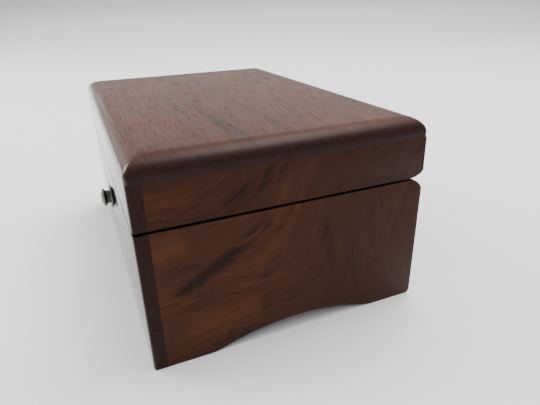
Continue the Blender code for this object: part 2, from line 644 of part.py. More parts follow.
def inserts(cloth, pale_cloth, felt, wood):
    """The deck with its well, the cushion, the pads and the baize under the floor."""
    rear_x = INNER_X - SEAT_GAP
    baize = block((-rear_x, INNER_FRONT + SEAT_GAP, FLOOR_RISE - SEAT_GAP - BAIZE),
                  (rear_x, INNER_REAR - SEAT_GAP, FLOOR_RISE - SEAT_GAP))
    add_piece("base_baize", baize, felt)

    wall_linings("base_lining", FLOOR_TOP + SEAT_GAP, LINING_TOP, CASE_OUTER + 2 * SEAT_GAP, cloth)
    lid_low = LID_FOOT + LINING_DROP
    wall_linings("lid_lining", lid_low, CEILING - SEAT_GAP, KEEPER_WIDTH / 2 + 2 * SEAT_GAP, cloth)

    inner_x = INNER_X - LINING - 3 * SEAT_GAP
    inner_front = INNER_FRONT + LINING + 2 * SEAT_GAP
    inner_rear = INNER_REAR - LINING - 2 * SEAT_GAP
    middle_y = (FRONT_Y + REAR_Y) / 2
    half_well = WELL_LENGTH / 2
    half_depth = WELL_DEPTH / 2

    deck = add_piece("insert_deck", block((-inner_x, inner_front, DECK_FOOT),
                                          (inner_x, inner_rear, DECK_FOOT + DECK)), cloth)
    opening = ease(block((-half_well, middle_y - half_depth, DECK_FOOT - DECK),
                         (half_well, middle_y + half_depth, DECK_FOOT + 2 * DECK)), WELL_CORNER, 3)
    combine(deck, opening)
    notch = block((-CASE_OUTER - 2 * SEAT_GAP, inner_front - SEAT_GAP, DECK_FOOT - DECK),
                  (CASE_OUTER + 2 * SEAT_GAP, CASE_REAR + SEAT_GAP, DECK_FOOT + 2 * DECK))
    combine(deck, notch)

    sleeve = block((-half_well - WELL_WALL, middle_y - half_depth - WELL_WALL, FLOOR_TOP + SEAT_GAP),
                   (half_well + WELL_WALL, middle_y + half_depth + WELL_WALL, DECK_FOOT - SEAT_GAP))
    sleeve = add_piece("well_sleeve", sleeve, cloth)
    combine(sleeve, block((-half_well, middle_y - half_depth, FLOOR_TOP - SEAT_GAP),
                          (half_well, middle_y + half_depth, DECK_FOOT + SEAT_GAP)))

    for side, facing in (("left", -1), ("right", 1)):
        low, high = sorted((facing * inner_x, facing * (inner_x - DECK_REST)))
        rest = block((low, inner_front, FLOOR_TOP + SEAT_GAP), (high, inner_rear, DECK_FOOT - SEAT_GAP))
        add_piece(f"deck_rest_{side}", rest, wood)

    pad_x, pad_y = half_well - SEAT_GAP, half_depth - SEAT_GAP
    pad_top = FLOOR_TOP + SEAT_GAP + FLOOR_PAD
    pad = block((-pad_x, middle_y - pad_y, FLOOR_TOP + SEAT_GAP), (pad_x, middle_y + pad_y, pad_top))
    add_piece("well_floor_pad", pad, cloth)

    cushion_x, cushion_y = half_well - CUSHION_PLAY, half_depth - CUSHION_PLAY
    cushion_foot = pad_top + SEAT_GAP
    cushion = block((-cushion_x, middle_y - cushion_y, cushion_foot),
                    (cushion_x, middle_y + cushion_y, cushion_foot + CUSHION_HEIGHT))
    bmesh.ops.bevel(cushion, geom=cushion.edges[:], offset=CUSHION_ROUND, segments=3, profile=0.5, affect="EDGES",
                    material=-1)
    add_piece("watch_cushion", cushion, pale_cloth)

    lid_pad = block((-inner_x, inner_front + KEEPER, CEILING - SEAT_GAP - LID_PAD),
                    (inner_x, inner_rear, CEILING - SEAT_GAP))
    bmesh.ops.bevel(lid_pad, geom=[edge for edge in lid_pad.edges if edge.calc_length() > LID_PAD * 2
                                   and all(vert.co.z < CEILING - LID_PAD for vert in edge.verts)],
                    offset=LID_PAD_ROUND, segments=2, profile=0.5, affect="EDGES", material=-1)
    add_piece("lid_pad", lid_pad, pale_cloth)


def build():
    clear_scene()
    wood = finish("walnut", (0.115, 0.045, 0.026), 0.38)
    inner_wood = finish("inner_wood", (0.42, 0.27, 0.16), 0.6)
    bronze = finish("dark_bronze", (0.10, 0.105, 0.085), 0.28, 1.0)
    brass = finish("brass", (0.78, 0.57, 0.28), 0.3, 1.0)
    steel = finish("spring_steel", (0.55, 0.55, 0.56), 0.3, 1.0)
    cloth = finish("lining_suede", (0.50, 0.41, 0.30), 0.95)
    pale_cloth = finish("cushion_suede", (0.60, 0.51, 0.39), 0.95)
    felt = finish("baize", (0.07, 0.045, 0.035), 1.0)
    base_boards(wood)
    lid_boards(wood)
    lid_top_board(wood)
    hinges(brass)
    bolt_front = button(bronze, brass)
    catch(brass, steel, bolt_front)
    inserts(cloth, pale_cloth, felt, inner_wood)


build()
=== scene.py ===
"""A walnut box for one watch: boards, hinges, push-button catch, suede linings and a stuffed cushion."""
import json
import math

import bmesh
import bpy
from bpy.props import FloatProperty, FloatVectorProperty, PointerProperty
from mathutils import Matrix, Vector


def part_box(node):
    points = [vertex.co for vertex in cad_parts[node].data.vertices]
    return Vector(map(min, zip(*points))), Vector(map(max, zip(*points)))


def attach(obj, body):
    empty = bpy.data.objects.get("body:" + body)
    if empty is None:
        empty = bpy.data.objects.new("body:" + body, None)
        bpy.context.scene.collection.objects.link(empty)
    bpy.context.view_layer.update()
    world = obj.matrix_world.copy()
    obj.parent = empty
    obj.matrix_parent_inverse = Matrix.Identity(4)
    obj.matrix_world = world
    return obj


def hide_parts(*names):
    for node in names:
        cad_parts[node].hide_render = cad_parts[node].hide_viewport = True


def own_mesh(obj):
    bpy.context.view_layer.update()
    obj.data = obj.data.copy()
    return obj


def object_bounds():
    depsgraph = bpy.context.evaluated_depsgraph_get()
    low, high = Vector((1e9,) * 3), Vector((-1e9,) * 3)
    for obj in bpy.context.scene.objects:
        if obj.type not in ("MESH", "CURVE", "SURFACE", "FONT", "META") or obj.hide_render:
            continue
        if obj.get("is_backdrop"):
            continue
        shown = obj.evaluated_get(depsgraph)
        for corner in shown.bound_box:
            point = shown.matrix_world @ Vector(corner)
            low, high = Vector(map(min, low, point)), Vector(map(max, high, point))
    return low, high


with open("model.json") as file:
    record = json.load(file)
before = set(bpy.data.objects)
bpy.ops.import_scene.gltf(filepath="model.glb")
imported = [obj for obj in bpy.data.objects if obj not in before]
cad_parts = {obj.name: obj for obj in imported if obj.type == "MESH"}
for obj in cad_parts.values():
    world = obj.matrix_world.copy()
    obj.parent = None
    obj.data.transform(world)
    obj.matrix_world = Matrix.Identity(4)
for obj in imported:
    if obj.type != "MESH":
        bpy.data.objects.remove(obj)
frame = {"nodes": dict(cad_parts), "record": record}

bl_info = {
    "name": "Watch box",
    "version": (1, 0, 0),
    "blender": (4, 5, 0),
    "location": "View3D > Sidebar > Watch box",
    "description": "Models the boards, fittings and linings of a wooden watch box",
    "category": "Add Mesh",
}

MM = 0.001
CAD_LOW, CAD_HIGH = (Vector(corner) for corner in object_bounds())
FRONT_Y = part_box("base_front_board")[0][1]
REAR_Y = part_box("base_rear_board")[1][1]
COLLAR_LOW, COLLAR_HIGH = (Vector(corner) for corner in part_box("button_collar"))
BUTTON_AXIS = Vector((0.0, FRONT_Y, (COLLAR_LOW.z + COLLAR_HIGH.z) / 2))
COLLAR_RADIUS = (COLLAR_HIGH.x - COLLAR_LOW.x) / 2
CASE_MIDDLE = Vector((0.0, (FRONT_Y + REAR_Y) / 2, 0.0))
PARTING = (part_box("base_front_board")[1][2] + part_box("lid_front_rail")[0][2]) / 2

ON_PLANE = 0.03 * MM            # how near a plane a point lies to count as on it
WELD, CUT = 1e-6, 1e-7          # distances for joining points and for cutting through them
SHARP_ANGLE = 35.0              # degrees between faces from which an edge gets rounded
SMOOTH_ALL = 180.0              # degrees: a piece with no sharp edges at all

ROUND_OVER_SIDE, ROUND_OVER_DROP, ROUND_OVER_STEPS = 6.9 * MM, 5.1 * MM, 18
CORNER_EASE = 1.6 * MM          # upright corners of the lid's top board
LINING_FOLD, DECK_FOLD, BAIZE_FOLD = 0.4 * MM, 1.0 * MM, 0.3 * MM

DOME_CROWN, DOME_BACK, DOME_STEPS = 1.35 * MM, 1.2 * MM, 14
BUTTON_NECK = 2.75 * MM
HINGE_SLOT = (0.45 * MM, 0.4 * MM)      # width and depth of the screws' driver slots
CATCH_SLOT = (0.4 * MM, 0.3 * MM)

CUSHION_SLACK, CUSHION_EDGE, CUSHION_CELL = 2.2 * MM, 8.5 * MM, 3.0 * MM
SEAM_INSET, SEAM_WIDTH, SEAM_DEPTH = 8.0 * MM, 2.2 * MM, 1.3 * MM
PIPING = 1.9 * MM
PAD_CELL, PAD_MARGIN = 2.5 * MM, 1.0 * MM
STUFFING_PRESSURE, STUFFING_FRAMES = 4.0, 20


# ---------------------------------------------------------------- settings

def colour(name, description, default):
    return FloatVectorProperty(name=name, description=description, default=default, size=3, min=0, max=1,
                               subtype="COLOR")


def length(name, description, default):
    return FloatProperty(name=name, description=description, default=default, min=0, unit="LENGTH")


def factor(name, description, default):
    return FloatProperty(name=name, description=description, default=default, min=0, max=1, subtype="FACTOR")


def power(name, description, default):
    return FloatProperty(name=name, description=description, default=default, min=0)


class WatchBoxWood(bpy.types.PropertyGroup):
    pale: colour("Pale grain", "Lightest tone of the walnut", (0.098, 0.033, 0.0125))
    warm: colour("Warm grain", "Main reddish tone of the walnut", (0.049, 0.0168, 0.0082))
    dark: colour("Dark grain", "Tone of the dark streaks", (0.0165, 0.0078, 0.0055))
    end: colour("End grain", "Tone where the fibres are cut across", (0.0165, 0.0070, 0.0054))
    edge: length("Edge softening", "Width of the sanded edges", 0.25 * MM)
    gloss: factor("Roughness", "Roughness of the lacquer", 0.31)


class WatchBoxMetal(bpy.types.PropertyGroup):
    bronze: colour("Bronze", "Dark patina of the button and its collar", (0.016, 0.017, 0.013))
    worn: colour("Worn bronze", "Bright metal where the patina has rubbed off", (0.42, 0.29, 0.15))
    brass: colour("Brass", "Hinges, screws and catch", (0.60, 0.40, 0.165))
    steel: colour("Steel", "Bolt and spring", (0.56, 0.56, 0.57))


class WatchBoxCloth(bpy.types.PropertyGroup):
    suede: colour("Suede", "Covered linings and deck", (0.215, 0.155, 0.100))
    cushion: colour("Cushion suede", "Cushion and lid pad", (0.275, 0.208, 0.142))
    baize: colour("Baize", "Felt under the floor", (0.055, 0.035, 0.028))


class WatchBoxStudio(bpy.types.PropertyGroup):
    floor: colour("Floor", "Seamless paper", (0.86, 0.86, 0.865))
    fill: power("Fill", "Strength of the even light all round", 0.66)
    key: power("Key", "Power of the soft panel overhead", 23.5)
    near: power("Near", "Power of the wide fill on the camera's side", 9.0)
    back: power("Back", "Power of the long panel behind the case", 2.4)
    left: power("Left", "Power of the panel at the front left", 15.0)
    lens: FloatProperty(name="Lens", description="Focal length on a 36 mm sensor", default=30.0, min=1)
    eye: FloatVectorProperty(name="Eye point", size=3, subtype="TRANSLATION", unit="LENGTH",
                             description="Camera position from the middle of the case's foot",
                             default=(0.18874, -0.05755, 0.10701))
    turn: FloatVectorProperty(name="Turn", description="Camera yaw, pitch down and roll", size=3,
                              default=(-1.1689, 0.4246, -0.0249), subtype="EULER", unit="ROTATION")


class WatchBoxSettings(bpy.types.PropertyGroup):
    wood: PointerProperty(type=WatchBoxWood)
    metal: PointerProperty(type=WatchBoxMetal)
    cloth: PointerProperty(type=WatchBoxCloth)
    studio: PointerProperty(type=WatchBoxStudio)


def settings():
    return bpy.context.scene.watch_box


# ---------------------------------------------------------------- shader graph

class Field:
    """A number that varies over a surface. Arithmetic on it adds Math nodes."""

    def __init__(self, graph, socket):
        self.graph = graph
        self.socket = socket

    def math(self, operation, *others):
        node = self.graph.add("ShaderNodeMath", {"operation": operation}, [self, *others])
        return Field(self.graph, node.outputs[0])

    def __add__(self, other):
        return self.math("ADD", other)

    def __sub__(self, other):
        return self.math("SUBTRACT", other)

    def __rsub__(self, other):
        return (self * -1.0) + other

    def __mul__(self, other):
        return self.math("MULTIPLY", other)

    def __pow__(self, other):
        return self.math("POWER", other)

    __radd__ = __add__
    __rmul__ = __mul__

    def step(self, low, high):
        """0 below low, 1 above high, smooth between."""
        node = self.graph.add("ShaderNodeMapRange", {"interpolation_type": "SMOOTHSTEP"},
                              {"Value": self, "From Min": low, "From Max": high})
        return Field(self.graph, node.outputs["Result"])


class Graph:
    """One material's nodes."""

    def __init__(self, name):
        self.material = bpy.data.materials.new(name)
        self.material.use_nodes = True
        self.tree = self.material.node_tree
        self.shader = self.tree.nodes["Principled BSDF"]

    def plug(self, socket, value):
        if isinstance(value, Field):
            value = value.socket
        if isinstance(value, bpy.types.NodeSocket):
            self.tree.links.new(value, socket)
        elif value is not None:
            wide = hasattr(socket.default_value, "__len__") and len(socket.default_value) == 4
            socket.default_value = (*value, 1.0) if wide and len(value) == 3 else value

    def add(self, kind, chosen, values):
        """A node of a type, with its settings first and then its sockets, by place or by name."""
        node = self.tree.nodes.new(kind)
        for key, value in chosen.items():
            setattr(node, key, value)
        pairs = enumerate(values) if isinstance(values, list) else values.items()
        for key, value in pairs:
            self.plug(node.inputs[key], value)
        return node

    def place(self):
        return self.add("ShaderNodeTexCoord", {}, {}).outputs["Object"]

    def facing(self):
        """The three parts of the surface's own normal, before the piece is moved."""
        normal = self.add("ShaderNodeTexCoord", {}, {}).outputs["Normal"]
        return self.parts(normal)

    def parts(self, vector):
        node = self.add("ShaderNodeSeparateXYZ", {}, [vector])
        return [Field(self, output) for output in node.outputs]

    def vector(self, *three):
        return self.add("ShaderNodeCombineXYZ", {}, list(three)).outputs[0]

    def stretch(self, vector, scale, shift=(0, 0, 0)):
        values = {"Vector": vector, "Scale": scale, "Location": shift}
        return self.add("ShaderNodeMapping", {}, values).outputs[0]

    def noise(self, vector, scale=1.0, detail=2.0, roughness=0.5, distortion=0.0):
        node = self.add("ShaderNodeTexNoise", {}, {"Vector": vector, "Scale": scale, "Detail": detail,
                                                   "Roughness": roughness, "Distortion": distortion})
        return Field(self, node.outputs["Fac"])

    def mix(self, amount, first, second):
        """first where amount is 0 and second where it is 1."""
        node = self.add("ShaderNodeMix", {"data_type": "RGBA"}, {0: amount, 6: first, 7: second})
        return node.outputs[2]

    def ramp(self, amount, stops):
        node = self.add("ShaderNodeValToRGB", {}, [amount])
        marks = node.color_ramp.elements
        while len(marks) < len(stops):
            marks.new(0.5)
        for mark, (place, tone) in zip(marks, stops):
            mark.position = place
            mark.color = (*tone, 1.0)
        return node.outputs["Color"]

    def bump(self, height, strength, distance):
        values = {"Strength": strength, "Distance": distance, "Height": height}
        return self.add("ShaderNodeBump", {}, values).outputs["Normal"]

    def finish(self, **sockets):
        for key, value in sockets.items():
            self.plug(self.shader.inputs[key.replace("_", " ")], value)
        return self.material


# ---------------------------------------------------------------- finishes

def wood_finish(name, phase_of, seed, end_axis, tone, ior, strokes=(), glows=(), lid_tone=1.0, satin=1.0,
                lacquer=0.0, lacquer_from=0.55, streak=1.0, pitting=0.5):
    """Lacquered walnut. phase_of turns a point into the field whose level lines the fibres follow.

    end_axis is the axis along which the fibres are cut across. lacquer is the strength of a clear
    coat on the faces that look to the front, and lacquer_from how squarely they have to look there.
    """
    wood = settings().wood
    dark, warm, pale = (Vector(colour) * tone for colour in (wood.dark, wood.warm, wood.pale))
    g = Graph(name)
    place = g.place()
    x, y, z = g.parts(place)
    wander = (g.noise(g.stretch(place, (14.0, 14.0, 14.0), seed), 1.0, 2.0) - 0.5) * 0.004
    phase = phase_of(x, y, z) + wander
    slow_x, slow_y, slow_z = g.parts(g.stretch(place, (16.0, 16.0, 16.0), seed))

    def fibres(rate, detail, drift, roughness=0.55):
        field = g.vector(phase * rate, slow_x * drift + slow_y * drift, slow_z * drift)
        return g.noise(field, 1.0, detail, roughness)

    bands = fibres(190.0, 3.0, 1.0)
    fine = fibres(1100.0, 3.0, 5.0 * streak, 0.65)
    cloudy = g.noise(g.stretch(place, (30.0, 30.0, 30.0), seed), 1.0, 2.0)
    pores = 1.0 - fibres(3600.0, 1.0, 18.0 * streak).step(0.33, 0.46)
    pores = pores * fibres(700.0, 1.0, 5.0).step(0.40, 0.6)
    figure = bands * 0.38 + fine * 0.38 + cloudy * 0.24
    body = g.ramp(figure, [(0.34, dark), (0.46, warm), (0.55, warm), (0.70, pale)])
    if glows:
        quiet = y.step(CASE_MIDDLE.y - 0.004, CASE_MIDDLE.y + 0.026) * 0.55
        body = g.mix(quiet, body, g.mix(fine, dark, warm))
    for start, end, width, depth in glows:
        mark = stroke(y, z, start, end, width) * fibres(240.0, 3.0, 1.5).step(0.3, 0.62) * depth
        body = g.mix(mark, body, pale)
    across, up = (x, y) if end_axis == 0 else (y, z)
    for start, end, width, depth in strokes:
        mark = stroke(across, up, start, end, width) * fibres(330.0, 2.0, 2.5).step(0.36, 0.6) * depth
        body = g.mix(mark, body, dark * 0.8)
    body = g.mix(pores * pitting, body, dark * 0.4)
    if end_axis == 0:
        # Painted shade: from about 12 mm inside each end along X the wood is mixed darker, for the shade where
        # the lid's flat top turns down into its round-over. The front and rear boards share this finish, so
        # they darken there too.
        rim = x.math("ABSOLUTE").step(CAD_HIGH.x - 12.0 * MM, CAD_HIGH.x - 5.5 * MM)
        body = g.mix(rim * 0.6, body, g.mix(fine, dark, warm))
    end_grain = g.facing()[end_axis].math("ABSOLUTE").step(0.25, 0.85)
    speck = g.noise(g.stretch(place, (1100.0, 1100.0, 1100.0), seed), 1.0, 2.0)
    cut = g.mix(speck.step(0.35, 0.7), wood.end, Vector(wood.end) * 1.35)
    body = g.mix(end_grain, body, cut)
    in_lid = z.step(PARTING - 0.1 * MM, PARTING + 0.1 * MM)
    body = g.mix(in_lid * (1.0 - lid_tone), body, (0.0, 0.0, 0.0))
    from_parting = (z - PARTING).math("ABSOLUTE")
    # Painted shade: within about half a millimetre of the parting the wood is mixed almost to black. It stands
    # in for the shade inside the gap between lid and base.
    seam = 1.0 - from_parting.step(0.32 * MM, 0.62 * MM)
    body = g.mix(seam * 0.9, body, (0.004, 0.003, 0.003))
    height = fine * 0.5 - pores * 0.9 + bands * 0.3
    normal = g.bump(height, 0.35, 0.00005)
    rough = (fine - 0.5) * 0.14 + pores * 0.2 + wood.gloss * satin
    if lacquer:
        front = (g.facing()[1] * -1.0).step(lacquer_from, lacquer_from + 0.4)
        clear = from_parting.step(0.5 * MM, 0.85 * MM)
        g.finish(Coat_Weight=front * clear * lacquer, Coat_Roughness=0.07)
    return g.finish(Base_Color=body, Roughness=rough, Normal=normal, IOR=ior)


def stroke(across, up, start, end, width):
    """1 along a soft-edged line from start to end in the plane of two coordinates, 0 away from it."""
    start, end = Vector(start), Vector(end)
    along = (end - start).normalized()
    down = (across - start.x) * along.x + (up - start.y) * along.y
    aside = ((up - start.y) * along.x - (across - start.x) * along.y).math("ABSOLUTE")
    span = (end - start).length
    return down.step(0.0, span * 0.3) * (1.0 - down.step(span * 0.7, span)) * (1.0 - aside.step(0.0, width))


def straight_phase(x, y, z):
    """Flat-sawn board with its fibres along X."""
    return y + z * 0.6 + x * 0.03


def figured_phase(x, y, z):
    """Side boards: fibres that rise gently at the front and turn up into standing arcs past the middle."""
    middle = CASE_MIDDLE.y
    turning = (y + z * 0.55).step(middle - 0.018, middle + 0.046)
    level = z - (y - middle) * 0.16 - (y - middle + 0.03) ** 2.0 * 2.2
    standing = (y - middle) * -0.9 + (z - 0.022) ** 2.0 * 7.0 + 0.03
    return level * (1.0 - turning) + standing * turning + x * 0.5


def side_strokes():
    """Dark flames across the side boards, running on from the base into the lid."""
    marks = ((0.006, 0.024, 0.030, 0.036, 0.0040, 0.9), (0.020, 0.030, 0.044, 0.047, 0.0036, 1.0),
             (0.030, 0.036, 0.043, 0.0445, 0.0012, 1.0), (0.004, 0.016, 0.022, 0.022, 0.0030, 0.6),
             (0.025, 0.052, 0.045, 0.064, 0.0042, 0.9), (0.036, 0.054, 0.048, 0.063, 0.0016, 0.8),
             (0.038, 0.008, 0.040, 0.030, 0.0030, 0.5), (0.066, 0.016, 0.060, 0.044, 0.0026, 0.45))
    return [((FRONT_Y + a, b), (FRONT_Y + c, d), width, depth) for a, b, c, d, width, depth in marks]


def side_glows():
    """Reddish patches of the side boards, on either side of the flames."""
    marks = ((0.004, 0.010, 0.044, 0.014, 0.0110, 0.60), (0.002, 0.040, 0.016, 0.044, 0.0070, 0.50),
             (0.002, 0.055, 0.020, 0.057, 0.0060, 0.50), (0.032, 0.026, 0.046, 0.040, 0.0040, 0.45),
             (0.038, 0.048, 0.062, 0.064, 0.0060, 0.30))
    return [((FRONT_Y + a, b), (FRONT_Y + c, d), width, depth) for a, b, c, d, width, depth in marks]


def top_strokes():
    """Dark hairlines along the lid's top, mostly over its front half."""
    marks = ((-0.060, 0.021, -0.006, 0.020, 0.0008, 0.7), (-0.040, 0.029, 0.052, 0.0275, 0.0008, 0.9),
             (-0.012, 0.035, 0.066, 0.034, 0.0008, 0.8), (-0.066, 0.040, 0.020, 0.043, 0.0008, 0.8),
             (-0.030, 0.052, 0.060, 0.050, 0.0010, 0.6), (-0.050, 0.071, 0.030, 0.068, 0.0010, 0.5),
             (-0.070, 0.030, 0.070, 0.026, 0.0070, 0.20))
    return [((a, FRONT_Y + b), (c, FRONT_Y + d), width, depth) for a, b, c, d, width, depth in marks]


def metal_finish(name, tone, roughness, patina=0.0, edge=(1.0, 1.0, 1.0)):
    """Brushed metal. edge is its tint at a glancing angle, and patina darkens it in clouds."""
    g = Graph(name)
    g.finish(Specular_Tint=edge)
    place = g.place()
    scratches = g.noise(g.stretch(place, (900.0, 5200.0, 900.0)), 1.0, 3.0, 0.6)
    cloud = g.noise(g.stretch(place, (420.0, 420.0, 420.0)), 1.0, 3.0)
    body = g.mix(cloud.step(0.3, 0.8) * (0.25 + patina), tone, Vector(tone) * 0.55)
    rough = roughness + (scratches - 0.5) * 0.16 + cloud * 0.06
    if patina:
        x, _, z = g.parts(place)
        spread = (x ** 2.0 + (z - BUTTON_AXIS.z) ** 2.0).math("SQRT") + (cloud - 0.5) * 0.0003
        body = g.mix(spread.step(COLLAR_RADIUS - 0.45 * MM, COLLAR_RADIUS - 0.1 * MM) * 0.8, body,
                     settings().metal.worn)
    rough = rough + cloud * patina * 0.2
    return g.finish(Base_Color=body, Metallic=1.0, Roughness=rough, Normal=g.bump(scratches, 0.25, 0.00002))


def cloth_finish(name, tone, nap=1.0):
    """Brushed suede cloth: soft nap with lighter and darker strokes."""
    g = Graph(name)
    place = g.place()
    fibre = g.noise(g.stretch(place, (6500.0, 6500.0, 6500.0)), 1.0, 2.0, 0.7)
    strokes = g.noise(g.stretch(place, (90.0, 45.0, 90.0)), 1.0, 3.0, 0.6, 0.8)
    patches = g.noise(g.stretch(place, (260.0, 170.0, 260.0), (4.0, 2.0, 7.0)), 1.0, 3.0, 0.6, 0.5)
    body = g.mix(strokes.step(0.35, 0.65) * 0.6 * nap, tone, Vector(tone) * 0.70)
    body = g.mix(patches.step(0.4, 0.7) * 0.35 * nap, body, Vector(tone) * 1.18)
    body = g.mix(fibre.step(0.3, 0.75) * 0.5, body, Vector(tone) * 0.55)
    height = fibre * 0.7 + strokes * 0.3
    return g.finish(Base_Color=body, Roughness=0.92, Normal=g.bump(height, 0.6, 0.00022),
                    Sheen_Weight=0.25, Sheen_Roughness=0.45)


def plain_wood_finish(name):
    g = Graph(name)
    place = g.place()
    grain = g.noise(g.stretch(place, (900.0, 30.0, 900.0)), 1.0, 3.0, 0.6)
    body = g.ramp(grain, [(0.3, (0.34, 0.21, 0.12)), (0.7, (0.52, 0.36, 0.22))])
    return g.finish(Base_Color=body, Roughness=0.62, Normal=g.bump(grain, 0.3, 0.0001))


def finishes():
    """All materials by name, made once. Where the frame has one of the same name, it gives the frame's."""
    known = {material.name: material for material in bpy.data.materials}
    if "walnut_top" in known:
        return known
    metal, cloth = settings().metal, settings().cloth
    wood_finish("walnut_top", straight_phase, (3.1, 1.7, 0.4), end_axis=0, tone=1.30, ior=1.21,
                strokes=top_strokes(), satin=1.2, lacquer=0.75, lacquer_from=0.3, streak=0.4, pitting=0.3)
    wood_finish("walnut_front", straight_phase, (7.3, 4.1, 2.2), end_axis=0, tone=0.8, ior=1.16,
                satin=0.65, lacquer=0.75)
    wood_finish("walnut_side", figured_phase, (1.3, 8.2, 5.1), end_axis=1, tone=0.92, ior=1.16,
                strokes=side_strokes(), glows=side_glows(), lid_tone=0.8, satin=1.15)
    metal_finish("dark_bronze", metal.bronze, 0.48, 0.3, (0.10, 0.10, 0.08))
    metal_finish("brass", metal.brass, 0.34)
    metal_finish("spring_steel", metal.steel, 0.28)
    cloth_finish("lining_suede", cloth.suede)
    cloth_finish("cushion_suede", cloth.cushion, 1.2)
    cloth_finish("baize", cloth.baize, 0.6)
    plain_wood_finish("inner_wood")
    return {material.name: material for material in bpy.data.materials}


# ---------------------------------------------------------------- modelling

def add_piece(name, shape, finish, body, nodes=(), sharp=32.0):
    """Makes a piece at the origin from a bmesh in the row frame, and gives it to its body."""
    mesh = bpy.data.meshes.new(name)
    shape.to_mesh(mesh)
    shape.free()
    mesh.shade_smooth()
    mesh.set_sharp_from_angle(angle=math.radians(sharp))
    mesh.materials.append(finishes()[finish])
    piece = bpy.data.objects.new(name, mesh)
    bpy.context.scene.collection.objects.link(piece)
    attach(piece, body)
    if nodes:
        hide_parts(*nodes)
    return piece


def merged_copy(node):
    """The CAD node's own shape as one welded surface with flat faces joined up."""
    shape = bmesh.new()
    shape.from_mesh(frame["nodes"][node].data)
    bmesh.ops.remove_doubles(shape, verts=shape.verts, dist=WELD)
    bmesh.ops.dissolve_limit(shape, angle_limit=math.radians(0.5), verts=shape.verts, edges=shape.edges,
                             use_dissolve_boundaries=False, delimit={"NORMAL"})
    return shape


def shift_plane(shape, axis, old, new):
    """Moves what lies on one plane to another, such as a glued face up to its neighbour."""
    for vert in shape.verts:
        if abs(vert.co[axis] - old) < ON_PLANE:
            vert.co[axis] = new


def soften(shape, width, steps, kept_sharp=()):
    """Rounds the sharp edges, apart from those that lie in a listed plane: (axis, place)."""
    def in_joint(edge):
        return any(all(abs(vert.co[axis] - at) < ON_PLANE for vert in edge.verts) for axis, at in kept_sharp)

    chosen = [edge for edge in shape.edges if len(edge.link_faces) == 2
              and edge.calc_face_angle(0) > math.radians(SHARP_ANGLE) and not in_joint(edge)]
    bmesh.ops.bevel(shape, geom=chosen, offset=width, segments=steps, profile=0.5, affect="EDGES",
                    material=-1, clamp_overlap=True)
    return shape


def body_of_node(node):
    bodies = frame["record"]["behaviour"]["bodies"]
    return next(body for body, members in bodies.items() if node in members)


def slot_of_node(node):
    return next(part["material_slot"] for part in frame["record"]["subparts"] if part["node"] == node)


def board(node, finish, joints, kept_sharp=()):
    """A board from its CAD shape, closed up to its glued neighbours and with sanded edges."""
    shape = merged_copy(node)
    for axis, old, new in joints:
        shift_plane(shape, axis, old, new)
    planes = [(axis, new) for axis, _, new in joints] + list(kept_sharp)
    soften(shape, settings().wood.edge, 2, planes)
    return add_piece(node + "_wood", shape, finish, body_of_node(node), [node])


def lid_top():
    """The lid's top board: eased upright corners and an elliptical round-over that dies into the flat."""
    low, high = (Vector(corner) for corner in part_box("lid_top_board"))
    middle, size = (low + high) / 2, high - low
    shape = bmesh.new()
    place = Matrix.Translation(middle) @ Matrix.Diagonal((*size, 1.0))
    bmesh.ops.create_cube(shape, size=1.0, matrix=place)
    uprights = [edge for edge in shape.edges if abs(edge.verts[0].co.z - edge.verts[1].co.z) > size.z / 2]
    bmesh.ops.bevel(shape, geom=uprights, offset=CORNER_EASE, segments=5, profile=0.5, affect="EDGES",
                    material=-1)
    top = [vert for vert in shape.verts if vert.co.z > middle.z]
    bmesh.ops.translate(shape, verts=top, vec=(0, 0, -ROUND_OVER_DROP))
    face = next(face for face in shape.faces if all(vert in top for vert in face.verts))
    centre = Matrix.Translation(-Vector((middle.x, middle.y, 0)))
    inset, height = 0.0, 0.0
    for step in range(1, ROUND_OVER_STEPS + 1):
        turn = math.pi / 2 * step / ROUND_OVER_STEPS
        next_inset = ROUND_OVER_SIDE * (1 - math.cos(turn))
        next_height = ROUND_OVER_DROP * math.sin(turn)
        grown = bmesh.ops.extrude_face_region(shape, geom=[face])["geom"]
        moved = [part for part in grown if isinstance(part, bmesh.types.BMVert)]
        bmesh.ops.delete(shape, geom=[face], context="FACES_ONLY")
        face = next(part for part in grown if isinstance(part, bmesh.types.BMFace))
        bmesh.ops.translate(shape, verts=moved, vec=(0, 0, next_height - height))
        shrink = [(side / 2 - next_inset) / (side / 2 - inset) for side in size.xy]
        bmesh.ops.scale(shape, verts=moved, vec=(*shrink, 1.0), space=centre)
        inset, height = next_inset, next_height
    return shape


def lathed(profile, centre, steps=72, closed=False):
    """A profile of (depth, radius) turned about the line through centre along Y."""
    centre = Vector(centre)
    shape = bmesh.new()
    verts = [shape.verts.new(centre + Vector((radius, depth, 0))) for depth, radius in profile]
    edges = [shape.edges.new(pair) for pair in zip(verts, verts[1:] + verts[:1] if closed else verts[1:])]
    bmesh.ops.spin(shape, geom=verts + edges, cent=centre, axis=(0, 1, 0), angle=math.tau, steps=steps,
                   use_merge=True, use_duplicate=False)
    bmesh.ops.remove_doubles(shape, verts=shape.verts, dist=WELD)
    bmesh.ops.recalc_face_normals(shape, faces=shape.faces)
    return shape


